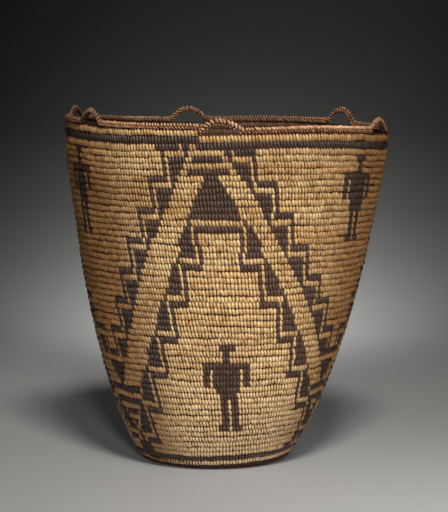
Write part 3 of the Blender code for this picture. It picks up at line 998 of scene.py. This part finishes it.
def traceRim():
    # the rim coil's middle line from the jog round to it again: level stretches that bend up into six loops,
    # evened out by a bell curve, and its end bent down over the first loop's foot
    along = []
    up = []
    owner = []

    def add(run, height, number):
        along.append(run)
        up.append(height)
        owner.append(0 * run + number)
    place = jog * rimRadius - rim["startShort"]
    foot = rim["footHeight"] * rim["braidHeight"]
    for number, name in enumerate(rim["loops"]):
        middle = math.radians(rim["loops"][name][0]) * rimRadius
        edge = (1 - foot / arch(name, 0.0)[1]) ** (1 / rim["archPower"])
        loopAlong, loopUp = arch(name, np.linspace(-edge, edge, 60))
        run = np.arange(place, middle + loopAlong[0], rim["traceStep"])
        add(run, braidLine(run) if number > 0 else 0 * run + foot, max(2 * number - 1, 0))
        add(middle + loopAlong, loopUp, 2 * number)
        place = middle + loopAlong[-1] + rim["traceStep"]
    run = np.arange(place, (jog + fullTurn) * rimRadius + rim["lap"], rim["traceStep"])
    dip = rim["dip"] * np.clip(1 - (run[-1] - run) / rim["dipLength"], 0, 1) ** 2
    add(run, braidLine(run) - dip, 2 * len(rim["loops"]) - 1)
    along, up, owner = (np.concatenate(values) for values in (along, up, owner))
    length = np.concatenate([[0], np.cumsum(np.hypot(np.diff(along), np.diff(up)))])
    fine = np.arange(0, length[-1], rim["fineStep"])
    along, up, owner = (np.interp(fine, length, values) for values in (along, up, owner))
    owner = np.round(owner).astype(int)
    width = int(3 * rim["turnIn"] / rim["fineStep"])
    bell = np.exp(-0.5 * (np.arange(-width, width + 1) * rim["fineStep"] / rim["turnIn"]) ** 2)
    bell /= bell.sum()

    def soften(values):
        return np.convolve(np.pad(values, width, mode="reflect", reflect_type="odd"), bell, "valid")
    return fine, soften(along), soften(up), owner, soften((owner % 2 == 0).astype(float))


rimLength, rimAlong, rimUp, rimOwner, rimIsLoop = traceRim()


def rimPoint(length, spin, puff):
    # a point on the rim coil: along it by length, and round its oval section, which is square to its line:
    # out = (half width + puff)*cos(spin), up = (half height + puff)*sin(spin)
    along, up, isLoop = (np.interp(length, rimLength, values) for values in (rimAlong, rimUp, rimIsLoop))
    slope = np.interp(length, rimLength, np.gradient(rimUp, rimAlong))
    size = np.hypot(1, slope)
    tall = 0.5 * (rim["braidHeight"] + fillerHeight(along / rimRadius) - rim["fit"])
    cord = 0.5 * (rim["loopCord"] + rim["wrap"])
    halfOut = 0.5 * rim["braidWidth"] + isLoop * (cord - 0.5 * rim["braidWidth"])
    halfUp = tall + isLoop * (cord - tall)
    out = (halfOut + puff) * np.cos(spin)
    lift = (halfUp + puff) * np.sin(spin)
    return onSeat(out, (along - lift * slope / size) / rimRadius, up + lift / size)


def makeRoll(name, first, last, nodes):
    # the padded roll under the splints: a ring of points at each step of its length, closed at both ends
    sides = rim["rollSides"]
    length = np.linspace(first, last, max(int((last - first) / rim["rollStep"]), 6))[:, None]
    spin = (fullTurn * np.arange(sides) / sides)[None, :]
    points = rimPoint(length + 0 * spin, spin + 0 * length, rim["rollSunk"] + 0 * spin + 0 * length)
    points[0] = points[0].mean(0)
    points[-1] = points[-1].mean(0)
    # the roll takes a middle tone and half of the painted groove shade
    colours = np.zeros((len(points), sides, 4)) + np.array([0.3, 0.5, 0.5, 1.0])
    quads = gridQuads(len(length), sides, closeColumns=True)
    makePiece(name, points, quads, coreRoot, nodes, colours.reshape(-1, 4))


splints = {
    # from and to round the section in degrees, slip along the coil and half width in stitches, and how far
    # the middle stands over the sides
    "top": {"from": 150.0, "to": 12.0, "slip": 0.9, "half": 0.41, "relief": 0.0019},
    "face": {"from": 18.0, "to": -72.0, "slip": 1.0, "half": 0.36, "relief": 0.0016},
    "inner": {"from": 246.0, "to": 144.0, "slip": 1.0, "half": 0.44, "relief": 0.0012},
    "loopTop": {"from": 158.0, "to": -66.0, "slip": 0.95, "half": 0.43, "relief": 0.0024},
    "loopFace": {"from": -60.0, "to": -112.0, "slip": 0.3, "half": 0.40, "relief": 0.0014},
    "loopInner": {"from": 250.0, "to": 144.0, "slip": 0.8, "half": 0.42, "relief": 0.0014},
}
splintShape = {
    "across": 5, "along": 8,
    "slipChance": 0.10, "halfChance": 0.03, "placeChance": 0.08, "puffChance": 0.00018,
    # the last power sets how the painted shade spreads into the gaps between splints
    "level": 0.35, "crownPower": 2.2, "tuck": 0.9, "tuckPower": 3.5, "groovePower": 5,
}


def makeSplints(name, kind, first, last, material):
    # slanted splints over the roll, u across from -1 to 1 and v along from 0 to 1: beads with tucked ends,
    # height = relief * (level - |u|^crownPower - tuck*|2v - 1|^tuckPower)
    values = splints[kind]
    shape = splintShape
    stitch = rim["loopStitch" if kind.startswith("loop") else "stitch"]
    count = max(int(round((last - first) / stitch)), 2)
    step = (last - first) / count
    u = np.linspace(-1, 1, shape["across"])[None, :, None]
    v = np.linspace(0, 1, shape["along"])[None, None, :]
    chance = rng.normal(0, 1, (count, 4))[:, :, None, None]
    middle = (first + step * (np.arange(count) + 0.5))[:, None, None]
    slip = values["slip"] * (1 + shape["slipChance"] * chance[:, 2])
    half = values["half"] + shape["halfChance"] * chance[:, 3]
    length = middle + step * (half * u + slip * (v - 0.5) + shape["placeChance"] * chance[:, 0])
    length = np.clip(length, rimLength[0] + rim["fit"], rimLength[-1] - rim["fit"])
    spin = np.radians(values["from"] + (values["to"] - values["from"]) * v) + 0 * u
    ends = np.abs(2 * v - 1) ** shape["tuckPower"]
    bead = values["relief"] * (shape["level"] - np.abs(u) ** shape["crownPower"] - shape["tuck"] * ends)
    puff = bead + shape["puffChance"] * chance[:, 1]
    points = rimPoint(length + 0 * v, spin + 0 * length, puff + 0 * spin)
    full = np.zeros(points.shape[:-1])
    tone = rng.uniform(0, 1, (count, 1, 1))
    # how far into a gap each place lies, which the root finish turns into painted shade
    cavity = np.clip(np.maximum(np.abs(u) ** shape["groovePower"] + 0 * v, ends + 0 * u), 0, 1)
    colours = np.stack([tone + full, cavity + full, full + 0.5, full + 1], -1)
    quads = patchQuads(count, shape["across"], shape["along"], flip=True)
    makePiece(name, points, quads, material, (), colours.reshape(-1, 4))


def makeStretch(label, owner):
    # one loop or one stretch of braid: its roll, then the splints on its top, its face and its inner side
    own = rimLength[rimOwner == owner]
    first = own[0]
    last = own[-1] + rim["fineStep"]
    isLoop = owner % 2 == 0
    makeRoll(label + "_roll", first - 0.001, min(last + 0.001, rimLength[-1]), ("rim_" + label,))
    for side, finish in (("top", braidRoot), ("face", hatchRoot), ("inner", hatchRoot)):
        kind = "loop" + side.capitalize() if isLoop else side
        makeSplints(label + "_" + side, kind, first, last, loopRoot if isLoop and side != "inner" else finish)


for number, name in enumerate(rim["loops"]):
    makeStretch("loop_" + name, 2 * number)
    makeStretch("braid_" + rim["braids"][name], 2 * number + 1)
print("rim made")


# Floor, light and camera

floorValues = {
    "grey": rgb(0.32, 0.32, 0.318), "shade": rgb(0.30, 0.30, 0.295), "grain": 60.0, "grainShare": 0.06,
    "solid": 1.1, "reach": 3.4,
    "curveStart": 0.42, "curveEnd": 1.0,     # where the floor turns up into the backdrop, behind the basket
    "rings": 12, "sides": 64,
}


def makeFloor():
    # a wide disc that fades out into the backdrop: alpha = 1 inside solid, 0 at reach, and 0 past curveEnd
    # behind the basket
    values = floorValues
    finish = Finish("paleFloor", Roughness=0.8)
    place = finish.place()
    grain = finish.noise(place, values["grain"])
    finish.link("Base Color", finish.mix(grain * values["grainShare"], values["grey"], values["shade"]))
    away = finish.node("VectorMath", {"operation": "LENGTH"}, out=1, in0=place)
    behind = finish.axes()[1]
    fade = 1.0 - finish.smooth(behind, values["curveStart"], values["curveEnd"])
    finish.link("Alpha", fade * (1.0 - finish.smooth(away, values["solid"], values["reach"])))
    radius = np.linspace(0.001, values["reach"], values["rings"])[:, None]
    spin = (fullTurn * np.arange(values["sides"]) / values["sides"])[None, :]
    points = np.stack([radius * np.cos(spin), radius * np.sin(spin), 0 * radius * spin], -1)
    quads = gridQuads(values["rings"], values["sides"], closeColumns=True)
    mesh = bpy.data.meshes.new("floor")
    mesh.from_pydata(points.reshape(-1, 3).tolist(), [], quads.tolist())
    mesh.materials.append(finish.material)
    floor = bpy.data.objects.new("floor", mesh)
    bpy.context.scene.collection.objects.link(floor)


backdrop = {
    # height of view, from viewLow up to viewLow + viewSpan, as a share, and how light the backdrop is there
    "viewLow": -0.15, "viewSpan": 0.21,
    "greys": (
        (0.0, 0.52), (0.13, 0.55), (0.21, 0.43), (0.31, 0.25), (0.44, 0.122), (0.64, 0.036), (1.0, 0.013)),
    "warmth": 0.97,
    "outside": 0.1, "narrow": 120.0, "widen": 75.0,          # the halo behind the basket
    "tiltReach": 0.15, "tiltLow": 0.5, "tiltRise": 2.0,      # a little more light on the right
}


def makeBackdrop():
    # world colour: the grey of its height h of view, times a halo outside + (1 - outside)*exp(-k*x^2) with
    # k = narrow - widen*h, times a tilt 1 + x*(tiltLow + tiltRise*h)
    values = backdrop
    world = bpy.data.worlds.new("studio")
    bpy.context.scene.world = world
    world.use_nodes = True
    tree = world.node_tree
    across, _, up = addNode(tree, "SeparateXYZ", in0=addNode(tree, "TexCoord")).siblings()
    height = ((up - values["viewLow"]) / values["viewSpan"]).clip()
    stops = [(share, (grey, grey, grey * values["warmth"], 1.0)) for share, grey in values["greys"]]
    colour = addNode(tree, "ValToRGB", {"stops": stops}, in0=height)
    reach = values["tiltReach"]
    side = across.math("MAXIMUM", -reach).math("MINIMUM", reach)
    tilt = 1.0 + side * (values["tiltLow"] + values["tiltRise"] * height)
    narrowing = values["widen"] * height - values["narrow"]
    halo = values["outside"] + (1 - values["outside"]) * (across * across * narrowing).math("EXPONENT")
    background = tree.nodes["Background"]
    tree.links.new(colour.socket, background.inputs[0])
    tree.links.new((tilt * halo).socket, background.inputs[1])


def spot(angle):
    # a spot that fades from its middle to the edge of its cone
    return {"spot_size": math.radians(angle), "spot_blend": 1.0, "shadow_soft_size": 0.22}


lamps = {
    # kind, place, target, power, and the lamp's own settings
    "key": ("AREA", (0.18, -1.4, 1.85), (0, 0, 0.15), 44.0,
            {"shape": "DISK", "size": 0.45, "color": (1.0, 0.97, 0.93)}),
    "fill": ("AREA", (-1.4, -1.9, 1.2), (0, 0, 0.17), 3.0, {"shape": "DISK", "size": 0.8}),
    "rear": ("AREA", (-0.9, 2.4, 1.5), (0, 0, 0.17), 4.0, {"shape": "DISK", "size": 1.6}),
    "apron": ("SPOT", (0.7, -1.1, 1.4), (0.30, -0.42, 0.0), 90.0, spot(30.0)),
    "beam": ("SPOT", (0.3, -2.5, 0.75), (0.04, 0, 0.12), 290.0, spot(12.0)),
}


def makeLamp(name, kind, place, target, power, settings):
    # a lamp at its place, turned so that it looks at its target
    lamp = bpy.data.lights.new(name, kind)
    lamp.energy = power
    for key, value in settings.items():
        setattr(lamp, key, value)
    item = bpy.data.objects.new(name, lamp)
    bpy.context.scene.collection.objects.link(item)
    x, y, z = np.array(target) - np.array(place)
    item.location = place
    item.rotation_euler = (math.atan2(math.hypot(x, y), -z), 0.0, math.atan2(-x, y))


cameraValues = {
    "place": (0.0098, -1.785, 0.3565), "pitch": -4.93,
    "lens": 125.5, "sensor": 36.0, "near": 0.05, "far": 50.0,
}


def makeCamera():
    camera = bpy.data.cameras.new("camera")
    camera.lens = cameraValues["lens"]
    camera.sensor_width = cameraValues["sensor"]
    camera.clip_start = cameraValues["near"]
    camera.clip_end = cameraValues["far"]
    item = bpy.data.objects.new("camera", camera)
    bpy.context.scene.collection.objects.link(item)
    item.location = cameraValues["place"]
    item.rotation_euler = (math.radians(90 + cameraValues["pitch"]), 0.0, 0.0)
    bpy.context.scene.camera = item


makeFloor()
makeBackdrop()
for name, values in lamps.items():
    makeLamp(name, *values)
makeCamera()
bpy.context.scene.view_settings.view_transform = "Standard"
print("stage set")
